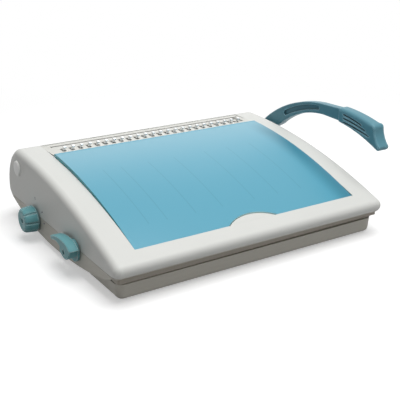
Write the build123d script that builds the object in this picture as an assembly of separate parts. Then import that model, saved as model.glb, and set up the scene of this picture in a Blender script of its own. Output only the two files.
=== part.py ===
"""Plastic comb punch and binding machine.

Frame: X along the hook row, Y towards the back, Z up; the origin lies under the middle of the
machine, on the surface that its feet stand on.
"""
from build123d import *
from math import acos, cos, hypot, pi, radians, sin, sqrt, tan
import os

os.makedirs("parts", exist_ok=True)

# ---------------------------------------------------------------- driving dimensions, millimetres

# Comb pattern
hook_pitch = 14.2875              # 9/16 inch, the standard comb spacing
hook_count = 24

# Rest gaps
seat_gap = 0.3                    # between pieces that do not clamp each other
running_gap = 0.05                # radial, in bores of turning parts

# Drive, from the throat outwards
throat_end = 0.55                 # throat walls beyond the hook pattern
throat_spacer = 3.0
rack_side_gap = 1.0               # between the throat walls and the racks
rack_width = 3.5
rack_gap = 0.5
frame_thickness = 3.0
bush_radius = 9.0
bush_lip = 1.5
bush_lip_reach = 2.0
shaft_radius = 6.0
shaft_clearance = 0.6
shaft_end_gap = 3.5
pinion_teeth = 14
tooth_module = 1.0
tooth_backlash = 0.24
pressure_angle = 20.0
handle_range = 75.0               # degrees of lift

# Casing
shoulder = 41.0                   # casing beside the lid
casing_wall = 3.0
crown_rear = (149.0, 123.8)       # Y, Z where the crown meets the rear wall
crown_middle = (0.0, 109.6)
crown_front = (-206.22, 50.8)     # sharp nose corner before rounding
lip_y = -190.5                    # lower edge of the front lip
lip_z = 37.5
bulge_y = 197.0                   # rearmost line of the rear bulge
bulge_z = 52.0
bulge_foot_y = 190.5
nose_radius = 10.0
shoulder_radius = 30.0            # between the crown and the rear wall
edge_radius = 9.5                 # all round each cheek
flange_thickness = 3.0
seam_groove = 0.5                 # hairline groove all round under the seam
seam_groove_depth = 0.8
swoosh_low = (18.0, 9.0)          # lowest point of the swept cheek edge
swoosh_front_radius = 870.0
swoosh_rear_radius = 455.0
swoosh_turn = (-149.0, 25.0)      # where the front stretch turns up to the lip
swoosh_turn_middle = (-168.0, 31.0)
swoosh_fade = 7.0                 # the swept edge reaches the lip this far behind the front

# Base pan
foot_height = 2.5
foot_radius = 9.0
foot_chamfer = 0.6
foot_inset_x = 38.0
foot_inset_front = 30.0
foot_inset_rear = 30.0
pan_top_z = 26.0
skirt_step = 8.0                  # the pan stands back from the casing's cheeks
pan_front_y = -184.0
pan_rear_y = 163.0
pan_taper = 5.0                   # degrees
pan_corner_radius = 9.0
pan_bottom_radius = 8.0
pan_wall = 2.5
neck_step = 6.0                   # how far the neck above the pan stands back

# Screws between the casings
case_screw_y = (-130.0, -20.0, 92.0)
screw_radius = 1.5
screw_head_radius = 2.6
screw_head_height = 2.4
screw_tip_gap = 1.0
boss_radius = 3.6
boss_height = 14.0
boss_roof = 2.0
boss_bite = 0.4                   # how far a boss reaches into the cheek wall

# Lid
lid_side_gap = 3.5                # lid beyond the side frames
lid_front_y = -170.5
lid_rear_y = 90.4
lid_rise = 1.9                    # rear edge of the lid above the crown's rear edge
lid_middle = (-40.5, 106.0)
lid_front_z = 63.1
lid_thickness = 2.5
lid_skirt = 2.0
lid_skirt_depth = 8.0
lid_gap = 0.6
barrel_radius = 5.4
hinge_pin_radius = 1.5
hinge_pin_length = 8.5
notch_radius = 70.0
notch_x = 2.0
notch_depth = 15.3
tongue_drop = 1.5
lid_rib_x = (-146.0, -117.0, -71.0, -26.0, 30.0, 73.0, 117.0)
lid_rib_front_y = -133.0
lid_rib_rear_y = 5.0
lid_rib_width = 1.2
lid_rib_height = 0.8
collar_wall = 2.5

# Comb tray
tray_wall = 2.0
tray_floor_z = 38.5
tray_front_gap = 10.5             # behind the front edge of the lid
tray_rear_gap = 12.0
tray_side_step = 3.0
tray_rib_count = 6
tray_rib = 1.2
tray_corner_radius = 8.0

# Comb plate and throat
plate_drop = 1.3                  # plate under the rear edge of the crown
plate_thickness = 3.0
plate_length = 55.1
plate_lid_gap = 0.5
plate_clearance = 0.3
hook_slot_width = 6.2
hook_slot_front = 3.0             # slot before a hook at rest
hook_slot_rear = 1.2              # and behind it at the end of its travel
throat_behind_hooks = 24.0        # between the hooks at rest and the throat
throat_gap = 4.4
die_thickness = 5.0
guide_thickness = 4.0
die_below_pins = 7.0
mouth_left_margin = 2.0
mouth_right_margin = 6.0
ledge_thickness = 3.0
ledge_overlap = 0.3
recess_depth = 2.0
recess_left = 12.3                # hollow's sides from the last hook
recess_right = 12.9
recess_corner = 6.0
recess_point = 12.0
recess_bow = 3.0

# Punch bar and pins
shaft_behind_guide = 3.1          # shaft's axis behind the guide plate
shaft_under_pins = 10.0
pin_width = 8.0
pin_height = 3.0
pin_under_plate = 15.5
pin_clearance = 0.1
bar_thickness = 6.0
bar_behind_shaft = 4.0
bar_gap = 0.8                     # punch bar above the shaft
rack_before_shaft = 20.0
rack_height = 8.0

# Hook bar and hooks
hook_bar_step = 7.6               # behind the front edge of the plate
hook_bar_thickness = 5.0
hook_bar_height = 9.0
hook_bar_rise = 2.0               # above the rack's pitch line
hook_thickness = 4.0
hook_stem = 3.0
hook_rise = 7.5                   # tops above the plate
hook_reach = 4.0
hook_finger = 3.0
hook_finger_lift = 0.4            # underside of the finger rises to its tip
hook_corner = 1.0

# Side frames
frame_leg = 6.0
frame_step = 6.1                  # behind the front edge of the plate
frame_under_shaft = 17.0
frame_reach = 18.0
frame_rise = 10.0
frame_top_gap = 6.0

# Pivot cap
cap_radius = 12.5
cap_thickness = 3.0
cap_rounding = 2.4
cap_spigot_radius = 8.0
cap_spigot_length = 3.6

# Handle
hub_gap = 1.0
hub_step = 4.5                    # arm beyond the inner face of the hub
hub_step_radius = 16.0
hub_radius = 16.5
hub_floor = 2.0
arm_thickness = 12.0
square_side = 8.5
band_depth = 4.0
handle_screw_radius = 2.5
handle_screw_head = 6.0
handle_screw_head_height = 3.0
handle_screw_depth = 10.0
grip_front_y = -81.0              # where the arm enters the grip
arm_root_top_z = 175.5
arm_root_height = 20.0
arm_outer_start = (129.5, 104.5)  # Y, Z along the upper edge of the arm
arm_outer_middle = (43.2, 158.3)
arm_neck_top = (45.1, -0.8)       # its end, from the top of the root
arm_neck_foot = (37.2, 1.9)       # lower edge's end, from the foot of the root
arm_inner_middle = (14.7, 147.1)
arm_inner_start = (70.8, 115.9)
arm_hub_tangent = (132.8, 80.4)
band_upper = ((60.8, 8.8), (2.5, 4.7), (-29.0, 4.6))    # Y, depth under the upper edge
band_lower = ((-28.5, 5.9), (8.4, 5.2), (54.5, 8.3))    # Y, height over the lower edge
band_front_bow = (-3.25, 0.0)
band_rear_bow = (3.55, -2.0)
tongue_length = 30.0
tongue_top_drop = 4.5
tongue_foot_rise = 2.5
tongue_side = 2.0
grip_gap = 2.0                    # grip beyond the cheek
grip_width = 21.5
grip_rounding = 5.0
grip_upper = ((0.0, 2.1), (-39.0, -1.3), (-76.0, -9.2))    # Y, Z from the top of the arm's root
grip_brow = (-80.0, -11.2)
grip_hollow = ((-81.6, -15.0), (-85.0, -27.6), (-94.8, -41.5))
grip_heel = (-93.4, -46.3)
grip_lower = ((-87.5, -48.1), (-45.0, -31.6), (0.0, -22.1))
grip_grooves = (((-12.0, -6.8), (-33.5, -10.3), (-54.0, -15.5)),
                ((-11.5, -12.8), (-37.5, -16.6), (-63.0, -22.1)),
                ((-12.0, -19.5), (-42.0, -23.8), (-72.0, -30.0)))
grip_groove_width = 1.4
grip_groove_depth = 1.0

# Knobs on the left cheek
knob_y = 75.0
knob_z = 33.5
knob_radius = 19.5
knob_length = 22.9
knob_gap = 0.6
knob_lobes = 8
knob_lobe_radius = 7.0
knob_lobe_offset = 4.8
knob_base = 2.5
knob_chamfer = 2.0
knob_hole_radius = 2.4
knob_hole_depth = 4.0
spindle_radius = 3.0
spindle_bite = 12.5               # how far a spindle reaches into its knob
wing_y = -73.3
wing_z = 37.0
wing_length = 17.9
wing_base = 4.0
wing_chamfer = 1.2
wing_flange_radius = 16.0
wing_spindle_bite = 11.9
wing_collar = 2.5
wing_collar_thickness = 2.7
wing_tail = ((47.3, 8.5), (25.3, 15.4), (-0.4, 16.4))    # Y, Z from the selector's axis
wing_shoulder = ((-0.4, 16.4), (-12.7, 13.5), (-21.1, 7.7))
wing_heel = ((-17.5, 0.7), (-11.2, -6.0), (-2.7, -9.6))
wing_keel = ((-2.7, -9.6), (6.8, -7.5), (14.3, -2.6))
wing_underside = ((13.3, 4.5), (27.3, 6.9), (41.3, 3.5))

# Slide behind the dial
slide_neck_gap = 6.5              # inside the neck wall
slide_width = 7.0
slide_plain = 3.4
slide_behind_knob = 25.0
slide_before_knob = 35.0
slide_height = 6.0
slide_tooth_length = 44.0
slide_tooth_start = 4.0
post_depth = 4.0
post_insets = (2.0, 8.0)          # from the slide's front and rear ends

# Chip drawer
drawer_front_y = 105.0
drawer_rear_y = 158.0
drawer_bottom_z = 41.0
drawer_height = 31.0
drawer_end_gap = 3.0              # inside the left side frame
drawer_wall = 2.0
drawer_gap = 0.5
drawer_inset = 1.0                # box inside the edges of its front
pull_depth = 3.5
pull_thickness = 4.0
pull_inset = 8.0
rail_width = 3.0
rail_inset = 4.0
rail_end_gap = 10.0

# Cutting blocks
everywhere = (-300.0, 300.0)      # wider than the machine
sky = 220.0                       # higher than the machine
overcut = 1.0                     # cutters pass this far through the face they open
far_past = 10.0                   # cutters of the swept edge pass this far beyond the machine

# ---------------------------------------------------------------- derived places

pinion_radius = tooth_module * pinion_teeth / 2
travel = pinion_radius * radians(handle_range)
tooth_pitch = pi * tooth_module
addendum = 0.85 * tooth_module
dedendum = 1.2 * tooth_module

# Across the machine
hook_positions = [(index - (hook_count - 1) / 2) * hook_pitch for index in range(hook_count)]
throat_half_length = hook_count / 2 * hook_pitch + throat_end
rack_inner_x = throat_half_length + rack_side_gap
rack_outer_x = rack_inner_x + 2 * rack_width + rack_gap
frame_inner_x = rack_outer_x + rack_gap
frame_outer_x = frame_inner_x + frame_thickness
lid_half_width = frame_outer_x + lid_side_gap
opening_half_width = lid_half_width + lid_gap
rim_half_width = opening_half_width + collar_wall
casing_half_width = lid_half_width + shoulder
cheek_inner_x = casing_half_width - casing_wall
pan_half_width = casing_half_width - skirt_step
neck_half_width = pan_half_width - neck_step
neck_inner_x = neck_half_width - pan_wall

# Front to back
opening_front_y = lid_front_y - lid_gap
rim_front_y = opening_front_y - collar_wall
plate_front_y = lid_rear_y + plate_lid_gap
plate_rear_y = plate_front_y + plate_length
rim_rear_y = plate_rear_y + plate_clearance + collar_wall
hook_bar_front_y = plate_front_y + hook_bar_step
hook_stem_y = hook_bar_front_y + hook_bar_thickness
throat_front_y = hook_stem_y + hook_stem + throat_behind_hooks
throat_rear_y = throat_front_y + throat_gap
shaft_y = throat_rear_y + guide_thickness + shaft_behind_guide
bar_front_y = shaft_y + bar_behind_shaft
rack_front_y = shaft_y - rack_before_shaft
rack_rear_y = bar_front_y + bar_thickness

# Heights
seam_z = lip_z + flange_thickness
lid_rear_z = crown_rear[1] + lid_rise
plate_top_z = crown_rear[1] - plate_drop
plate_bottom_z = plate_top_z - plate_thickness
ledge_z = plate_bottom_z - ledge_thickness
pin_z = plate_bottom_z - pin_under_plate
shaft_z = pin_z - shaft_under_pins
guide_bottom_z = shaft_z + shaft_radius + seat_gap
rack_pitch_z = shaft_z + pinion_radius
hook_bottom_z = rack_pitch_z + hook_bar_rise
hook_top_z = plate_top_z + hook_rise
pan_floor_z = foot_height + pan_wall

# Lid, handle, knobs and slide
hinge_y = lid_rear_y - barrel_radius
hinge_z = lid_rear_z - barrel_radius
collar_depth = lid_skirt_depth + lid_gap
hub_x = casing_half_width + hub_gap
arm_root_foot_z = arm_root_top_z - arm_root_height
arm_outer_end = (grip_front_y + arm_neck_top[0], arm_root_top_z + arm_neck_top[1])
arm_inner_end = (grip_front_y + arm_neck_foot[0], arm_root_foot_z + arm_neck_foot[1])
arm_inner_x = hub_x + hub_step
arm_outer_x = arm_inner_x + arm_thickness
square_end_x = arm_outer_x - hub_floor
grip_inner_x = casing_half_width + grip_gap
grip_outer_x = grip_inner_x + grip_width
knob_inner_x = -casing_half_width - knob_gap
knob_outer_x = knob_inner_x - knob_length
wing_outer_x = knob_inner_x - wing_length
slide_outer_x = -neck_inner_x + slide_neck_gap
slide_inner_x = slide_outer_x + slide_width
slide_pitch_z = knob_z + pinion_radius
slide_front_y = knob_y - slide_before_knob
slide_rear_y = knob_y + slide_behind_knob
drawer_left_x = -frame_inner_x + drawer_end_gap
drawer_top_z = drawer_bottom_z + drawer_height


# ---------------------------------------------------------------- shared shapes

def block(x_range, y_range, z_range):
    """Box between the given limits."""
    sizes = [limits[1] - limits[0] for limits in (x_range, y_range, z_range)]
    middle = [(limits[1] + limits[0]) / 2 for limits in (x_range, y_range, z_range)]
    return Pos(*middle) * Box(*sizes)


def x_cylinder(radius, y, z, x_from, x_to):
    """Round bar along X."""
    bar = Cylinder(radius, x_to - x_from, align=(Align.CENTER, Align.CENTER, Align.MIN))
    return Pos(x_from, y, z) * Rot(0, 90, 0) * bar


def z_cylinder(radius, x, y, z_from, z_to):
    """Upright round bar."""
    return Pos(x, y, z_from) * Cylinder(radius, z_to - z_from, align=(Align.CENTER, Align.CENTER, Align.MIN))


def side_prism(outline, x_from, x_to):
    """Solid with a side-view outline (Y, Z), between two places along X."""
    return Pos(x_from, 0, 0) * extrude(Plane.YZ * outline, amount=x_to - x_from)


def circle_through(first, second, third):
    """Centre and radius of the circle through three points."""
    (ax, ay), (bx, by), (cx, cy) = first, second, third
    scale = 2 * (ax * (by - cy) + bx * (cy - ay) + cx * (ay - by))
    a, b, c = ax ** 2 + ay ** 2, bx ** 2 + by ** 2, cx ** 2 + cy ** 2
    centre_x = (a * (by - cy) + b * (cy - ay) + c * (ay - by)) / scale
    centre_y = (a * (cx - bx) + b * (ax - cx) + c * (bx - ax)) / scale
    return centre_x, centre_y, hypot(ax - centre_x, ay - centre_y)


def under_lid_arc(drop, x_from=-casing_half_width, x_to=casing_half_width):
    """Everything below the curve of the lid's top, lowered by drop."""
    y, z, radius = circle_through((lid_rear_y, lid_rear_z), lid_middle, (lid_front_y, lid_front_z))
    return x_cylinder(radius, y, z - drop, x_from, x_to)


def notch(radius, z_from, z_to):
    """Upright cylinder that cuts the finger notch in the lid's front edge."""
    return z_cylinder(radius, notch_x, lid_front_y + notch_depth - notch_radius, z_from, z_to)


# ---------------------------------------------------------------- casing

def casing_outline(inset):
    """Side view of the whole casing: crown, nose, rear wall with its bulge; or the same set inwards."""
    slope = (lip_y - crown_front[0]) / (crown_front[1] - lip_z)
    front_foot = (lip_y + slope * lip_z, 0)
    crown = ThreePointArc(crown_rear, crown_middle, crown_front)
    rear = TangentArc((bulge_y, bulge_z), crown_rear, tangent=(0, 1))
    bulge = TangentArc((bulge_y, bulge_z), (bulge_foot_y, lip_z), tangent=(0, -1))
    foot = bulge @ 1 + (bulge % 1) * lip_z
    face = make_face(Wire([crown, rear, bulge, Line(bulge @ 1, foot), Line(foot, front_foot),
                           Line(front_foot, crown_front)]))
    if inset:
        face = offset(face, amount=-inset)
    nose = face.vertices().sort_by(Axis.X)[0]
    face = fillet(nose, nose_radius - inset)
    shoulder = face.vertices().sort_by(Axis.Y)[-1]
    return fillet(shoulder, shoulder_radius - inset)


def casing_form(inset):
    """The casing's outer form, or the same form set inwards by the wall."""
    half_width = casing_half_width - inset
    form = side_prism(casing_outline(inset), -half_width, half_width)
    rims = form.edges().filter_by(lambda edge: abs(abs(edge.center().X) - half_width) < 0.01)
    return fillet(rims.filter_by(lambda edge: edge.center().Z > lip_z / 2), edge_radius - inset)


def swoosh_outline():
    """Side view of everything below the swept lower edge of the cheeks."""
    low_y, low_z = swoosh_low
    turn_y, turn_z = swoosh_turn
    front_half = (turn_y + low_y) / 2
    front_mid = (front_half, low_z + (low_y - front_half) ** 2 / (2 * swoosh_front_radius))
    rear_end = (low_y + sqrt(2 * swoosh_rear_radius * (lip_z - low_z)), lip_z)
    rear_half = (rear_end[0] + low_y) / 2
    rear_mid = (rear_half, low_z + (rear_half - low_y) ** 2 / (2 * swoosh_rear_radius))
    rear_far = (bulge_y + far_past, lip_z)
    fade = (lip_y + swoosh_fade, lip_z)
    edges = [ThreePointArc(fade, swoosh_turn_middle, swoosh_turn),
             ThreePointArc(swoosh_turn, front_mid, swoosh_low),
             ThreePointArc(swoosh_low, rear_mid, rear_end),
             Line(rear_end, rear_far),
             Line(rear_far, (rear_far[0], -far_past)),
             Line((rear_far[0], -far_past), (lip_y - 2 * far_past, -far_past)),
             Line((lip_y - 2 * far_past, -far_past), (lip_y - 2 * far_past, lip_z)),
             Line((lip_y - 2 * far_past, lip_z), fade)]
    return make_face(Wire(edges))


def screw_places():
    """Plan positions of the screws that join the two casings."""
    x = cheek_inner_x - boss_radius + boss_bite
    return [(side * x, y) for side in (-1, 1) for y in case_screw_y]


def shaft_bar(radius, x_from, x_to):
    """Round bar on the main shaft's axis."""
    return x_cylinder(radius, shaft_y, shaft_z, x_from, x_to)


def upper_casing():
    """Moulded upper housing with the lid opening and its turned-down collar."""
    form = casing_form(0)
    shell = (form - casing_form(casing_wall)) & block(everywhere, everywhere, (seam_z, sky))
    lid_collar = block((-rim_half_width, rim_half_width), (rim_front_y, plate_front_y), (seam_z, sky))
    lid_collar = lid_collar - under_lid_arc(collar_depth)
    plate_collar = block((-rim_half_width, rim_half_width), (plate_front_y, rim_rear_y), (ledge_z, sky))
    opening = block((-opening_half_width, opening_half_width),
                    (opening_front_y, plate_rear_y + plate_clearance), (seam_z, sky))
    ledge_inner_x = frame_outer_x + ledge_overlap
    ledge = block((-rim_half_width, rim_half_width), (plate_front_y, rim_rear_y), (ledge_z, plate_bottom_z))
    ledge -= block((-ledge_inner_x, ledge_inner_x), (plate_front_y - overcut, shaft_y), (0, sky))
    tongue = notch(notch_radius - lid_gap, seam_z, sky)
    tongue &= under_lid_arc(tongue_drop) - under_lid_arc(tongue_drop + casing_wall)
    tongue &= block(everywhere, (rim_front_y, 0), (seam_z, sky))
    body = shell + ((lid_collar + plate_collar) & form) - opening + (ledge & form) + (tongue & form)
    for x, y in screw_places():
        body += z_cylinder(boss_radius, x, y, seam_z, seam_z + boss_height) & form
        body -= z_cylinder(screw_radius, x, y, seam_z - overcut, seam_z + boss_height - boss_roof)
    body -= shaft_bar(cap_spigot_radius, -casing_half_width - overcut, -cheek_inner_x + overcut)
    body -= shaft_bar(shaft_radius + shaft_clearance, cheek_inner_x - overcut, casing_half_width + overcut)
    body -= block((cheek_inner_x - overcut, casing_half_width + overcut),
                  (drawer_front_y - drawer_gap, drawer_rear_y + drawer_gap),
                  (seam_z - overcut, drawer_top_z + drawer_gap))
    for x_from in (-rim_half_width, opening_half_width):
        body -= x_cylinder(hinge_pin_radius, hinge_y, hinge_z, x_from, x_from + collar_wall)
    return body


def pan_form(inset):
    """Tapered base pan with rounded plan corners and bottom edge, or its hollow."""
    bottom_z = foot_height + inset
    narrowing = (pan_top_z - bottom_z) * tan(radians(pan_taper)) + inset
    width = 2 * (pan_half_width - narrowing)
    depth = pan_rear_y - pan_front_y - 2 * narrowing
    plan = RectangleRounded(width, depth, pan_corner_radius - inset)
    form = extrude(Pos(0, (pan_front_y + pan_rear_y) / 2, bottom_z) * plan,
                   amount=pan_top_z - bottom_z, taper=-pan_taper)
    return fillet(form.faces().sort_by(Axis.Z)[0].edges(), pan_bottom_radius - inset)


def neck_form(inset, z_from, z_to):
    """Upright wall that joins the pan to the flange, standing back by the neck step."""
    step = neck_step + inset
    plan = RectangleRounded(2 * (neck_half_width - inset), pan_rear_y - pan_front_y - 2 * step,
                            pan_corner_radius - inset)
    return Pos(0, (pan_front_y + pan_rear_y) / 2, z_from) * extrude(plan, amount=z_to - z_from)


def lower_casing():
    """Cheek skirts with the swept edge, the flange under the seam and the base pan."""
    form = casing_form(0)
    skirts = (form - casing_form(casing_wall)) & block(everywhere, everywhere, (1, lip_z))
    skirts -= side_prism(swoosh_outline(), *everywhere)
    skirts -= block((-pan_half_width, pan_half_width), everywhere, (0, lip_z))
    flange = form & block(everywhere, everywhere, (lip_z, seam_z))
    groove = form - casing_form(seam_groove_depth)
    flange -= groove & block(everywhere, everywhere, (seam_z - seam_groove, seam_z))
    body = flange + skirts + pan_form(0) + neck_form(0, pan_top_z, lip_z)
    body -= pan_form(pan_wall) - block(everywhere, everywhere, (pan_top_z - pan_wall, sky))
    body -= neck_form(pan_wall, foot_height + pan_bottom_radius, seam_z + overcut)
    root_z = pan_floor_z - pan_wall / 2
    for y in (drawer_front_y + rail_inset, drawer_rear_y - rail_inset - rail_width):
        body += block((drawer_left_x + drawer_end_gap, neck_inner_x - rail_end_gap), (y, y + rail_width),
                      (root_z, drawer_bottom_z - seat_gap))
    for y in (slide_front_y + post_insets[0], slide_rear_y - post_insets[1]):
        body += block((slide_inner_x - slide_plain, slide_inner_x), (y, y + post_depth),
                      (root_z, slide_pitch_z + dedendum - seat_gap))
    for x, y in screw_places():
        body -= z_cylinder(screw_radius, x, y, lip_z - overcut, seam_z + overcut)
    for y, z in ((knob_y, knob_z), (wing_y, wing_z)):
        body -= x_cylinder(spindle_radius + running_gap, y, z,
                           -casing_half_width - overcut, -neck_inner_x + overcut)
    return body


def rubber_feet():
    """Four round feet with softened lower edges."""
    feet = []
    for x in (-pan_half_width + foot_inset_x, pan_half_width - foot_inset_x):
        for y in (pan_front_y + foot_inset_front, pan_rear_y - foot_inset_rear):
            foot = z_cylinder(foot_radius, x, y, 0, foot_height)
            feet.append(chamfer(foot.edges().group_by(Axis.Z)[0], foot_chamfer))
    return Compound(feet)


def case_screws():
    """Pan-head screws driven up through the flange."""
    screws = []
    for x, y in screw_places():
        head = z_cylinder(screw_head_radius, x, y, lip_z - screw_head_height, lip_z)
        tip_z = seam_z + boss_height - boss_roof - screw_tip_gap
        screws.append(head + z_cylinder(screw_radius, x, y, lip_z, tip_z))
    return Compound(screws)


# ---------------------------------------------------------------- lid and comb tray

def lid():
    """Curved translucent cover with side skirts, a rolled hinge edge and a finger notch."""
    slab = block((-lid_half_width, lid_half_width), (lid_front_y, hinge_y), (seam_z, sky)) & under_lid_arc(0)
    hollow = block((lid_skirt - lid_half_width, lid_half_width - lid_skirt),
                   (lid_front_y + lid_skirt, hinge_y + overcut), (0, sky)) & under_lid_arc(lid_thickness)
    cover = slab - hollow - under_lid_arc(lid_skirt_depth)
    for x in lid_rib_x:
        rib = block((x - lid_rib_width / 2, x + lid_rib_width / 2),
                    (lid_rib_front_y, lid_rib_rear_y), (seam_z, sky))
        cover += (rib & under_lid_arc(lid_thickness)) - under_lid_arc(lid_thickness + lid_rib_height)
    cover += x_cylinder(barrel_radius, hinge_y, hinge_z, -lid_half_width, lid_half_width)
    cover -= notch(notch_radius, 0, sky)
    depth = hinge_pin_length - collar_wall - lid_gap + seat_gap
    for x_from in (-lid_half_width, lid_half_width - depth):
        cover -= x_cylinder(hinge_pin_radius + running_gap, hinge_y, hinge_z, x_from, x_from + depth)
    return cover


def lid_hinge_pins():
    """Pins from the collar walls into the lid's rolled edge."""
    return Compound([x_cylinder(hinge_pin_radius, hinge_y, hinge_z, x_from, x_from + hinge_pin_length)
                     for x_from in (-rim_half_width, rim_half_width - hinge_pin_length)])


def comb_tray():
    """Ribbed tray for spare combs, hung under the collar by its flange."""
    half_width = lid_half_width - lid_skirt - tray_side_step
    tray_front_y = lid_front_y + tray_front_gap
    tray_rear_y = lid_rear_y - tray_rear_gap
    plan = Pos(0, (tray_front_y + tray_rear_y) / 2, tray_floor_z)
    outer_plan = RectangleRounded(2 * half_width, tray_rear_y - tray_front_y, tray_corner_radius)
    inner_plan = RectangleRounded(2 * (half_width - tray_wall), tray_rear_y - tray_front_y - 2 * tray_wall,
                                  tray_corner_radius - tray_wall)
    outer = plan * extrude(outer_plan, amount=sky)
    inner = plan * Pos(0, 0, tray_wall) * extrude(inner_plan, amount=sky)
    flange = block((-rim_half_width, rim_half_width), (rim_front_y, tray_rear_y), (seam_z, sky))
    flange -= under_lid_arc(collar_depth + tray_wall)
    body = ((outer + flange) & under_lid_arc(collar_depth)) - inner
    rib_pitch = 2 * (half_width - tray_wall) / tray_rib_count
    for index in range(1, tray_rib_count):
        x = index * rib_pitch - half_width + tray_wall
        body += block((x - tray_rib / 2, x + tray_rib / 2),
                      (tray_front_y + tray_wall, tray_rear_y - tray_wall),
                      (tray_floor_z + tray_wall / 2, tray_floor_z + tray_wall + tray_rib))
    return body


# ---------------------------------------------------------------- comb plate and throat

def comb_plate():
    """Plate with the hook slots and the mouth of the paper throat."""
    half_width = opening_half_width - plate_clearance
    plate = block((-half_width, half_width), (plate_front_y, plate_rear_y), (plate_bottom_z, plate_top_z))
    slot_from = hook_stem_y - hook_slot_front
    slot_to = hook_stem_y + hook_stem + travel + hook_slot_rear
    slot_plan = Rot(0, 0, 90) * SlotOverall(slot_to - slot_from, hook_slot_width)
    for x in hook_positions:
        slot = extrude(Pos(x, (slot_from + slot_to) / 2, plate_bottom_z - overcut) * slot_plan,
                       amount=plate_thickness + 2 * overcut)
        plate -= slot
    mouth_span = (-throat_half_length - mouth_left_margin, opening_half_width - mouth_right_margin)
    mouth = block(mouth_span, (throat_front_y, throat_rear_y), (plate_bottom_z - overcut, sky))
    middle = (throat_front_y + throat_rear_y) / 2
    lead = side_prism(Polygon((middle - throat_gap, plate_top_z), (middle + throat_gap, plate_top_z),
                              (middle, plate_top_z - throat_gap), align=None), *mouth_span)
    return plate - mouth - lead - plate_recess()


def plate_recess():
    """Shallow hollow with a pointed end round the last hooks on the right."""
    left = hook_positions[-1] - recess_left
    right = hook_positions[-1] + recess_right
    front = hook_stem_y
    rear = throat_front_y - throat_gap
    outline = Polygon((left, front + recess_corner), (left + recess_corner, front), (right, front),
                      (right, rear), (right - recess_corner, rear + recess_bow),
                      (left, front + recess_point), align=None)
    return extrude(Pos(0, 0, plate_top_z - recess_depth) * outline, amount=recess_depth + overcut)


def pin_holes(y_from, y_to):
    """Row of rectangular passages for the punch pins."""
    half_width = pin_width / 2 + pin_clearance
    half_height = pin_height / 2 + pin_clearance
    heights = (pin_z - half_height, pin_z + half_height)
    return [block((x - half_width, x + half_width), (y_from, y_to), heights) for x in hook_positions]


def die_plate():
    """Front wall of the throat; its holes cut against the pins."""
    plate = block((-throat_half_length, throat_half_length), (throat_front_y - die_thickness, throat_front_y),
                  (pin_z - die_below_pins, plate_bottom_z))
    return plate - pin_holes(throat_front_y - die_thickness - overcut, throat_front_y + overcut)


def guide_plate():
    """Rear wall of the throat, which carries the pins."""
    plate = block((-throat_half_length, throat_half_length), (throat_rear_y, throat_rear_y + guide_thickness),
                  (guide_bottom_z, plate_bottom_z))
    return plate - pin_holes(throat_rear_y - overcut, throat_rear_y + guide_thickness + overcut)


def throat_spacers():
    """End blocks that keep the two walls of the throat apart."""
    return Compound([block(span, (throat_front_y, throat_rear_y), (guide_bottom_z, plate_bottom_z))
                     for span in ((-throat_half_length, -throat_half_length + throat_spacer),
                                  (throat_half_length - throat_spacer, throat_half_length))])


# ---------------------------------------------------------------- drive

def gear_outline(teeth, centre_y, centre_z):
    """Involute pinion in side view, with a gap between teeth pointing straight up."""
    pitch_radius = tooth_module * teeth / 2
    base_radius = pitch_radius * cos(radians(pressure_angle))
    tip_radius = pitch_radius + addendum

    def involute(radius):
        angle = acos(base_radius / radius)
        return tan(angle) - angle

    half_tooth = (tooth_pitch - tooth_backlash) / 4 / pitch_radius
    flank = [(pitch_radius - dedendum, half_tooth + involute(pitch_radius))]
    for step in range(4):
        radius = base_radius + (tip_radius - base_radius) * step / 3
        flank.append((radius, half_tooth + involute(pitch_radius) - involute(radius)))
    points = []
    for tooth in range(teeth):
        middle = pi / 2 + (tooth + 0.5) * 2 * pi / teeth
        for radius, angle in [(r, -a) for r, a in flank] + flank[::-1]:
            points.append((centre_y + radius * cos(middle + angle), centre_z + radius * sin(middle + angle)))
    return Polygon(*points, align=None)


def rack(x_range, y_range, toothed, tooth_y, pitch_z, height):
    """Bar with teeth on its underside, one of them centred on tooth_y."""
    body = block(x_range, y_range, (pitch_z + dedendum, pitch_z + height))
    half_tooth = (tooth_pitch - tooth_backlash) / 4
    tip = half_tooth - addendum * tan(radians(pressure_angle))
    root = half_tooth + dedendum * tan(radians(pressure_angle))
    first = int((toothed[0] + root - tooth_y) / tooth_pitch)
    last = int((toothed[1] - root - tooth_y) / tooth_pitch)
    for index in range(first, last + 1):
        y = tooth_y + index * tooth_pitch
        tooth = Polygon((y - root, pitch_z + dedendum), (y - tip, pitch_z - addendum),
                        (y + tip, pitch_z - addendum), (y + root, pitch_z + dedendum), align=None)
        body += side_prism(tooth, *x_range)
    return body


def side_frame(side):
    """Steel plate that carries the shaft's bush and a long leg down to the pan's floor."""
    front_y = plate_front_y + frame_step
    bottom_z = shaft_z - frame_under_shaft
    outline = Polygon((front_y, pan_floor_z), (front_y + frame_leg, pan_floor_z),
                      (front_y + frame_leg, bottom_z), (shaft_y + frame_reach, bottom_z),
                      (shaft_y + frame_reach, shaft_z + frame_rise),
                      (shaft_y - frame_top_gap, plate_bottom_z),
                      (front_y, plate_bottom_z), align=None)
    x_from = frame_inner_x if side > 0 else -frame_inner_x - frame_thickness
    plate = side_prism(outline, x_from, x_from + frame_thickness)
    return plate - shaft_bar(bush_radius, x_from - overcut, x_from + frame_thickness + overcut)


def shaft_bushes():
    """Flanged bushes in the side frames."""
    bushes = []
    for side in (-1, 1):
        spans = sorted((side * frame_inner_x, side * (frame_outer_x + bush_lip)))
        lip = sorted((side * frame_outer_x, side * (frame_outer_x + bush_lip)))
        bush = shaft_bar(bush_radius, *spans) + shaft_bar(bush_radius + bush_lip_reach, *lip)
        bushes.append(bush - shaft_bar(shaft_radius + running_gap, *spans))
    return Compound(bushes)


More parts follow.
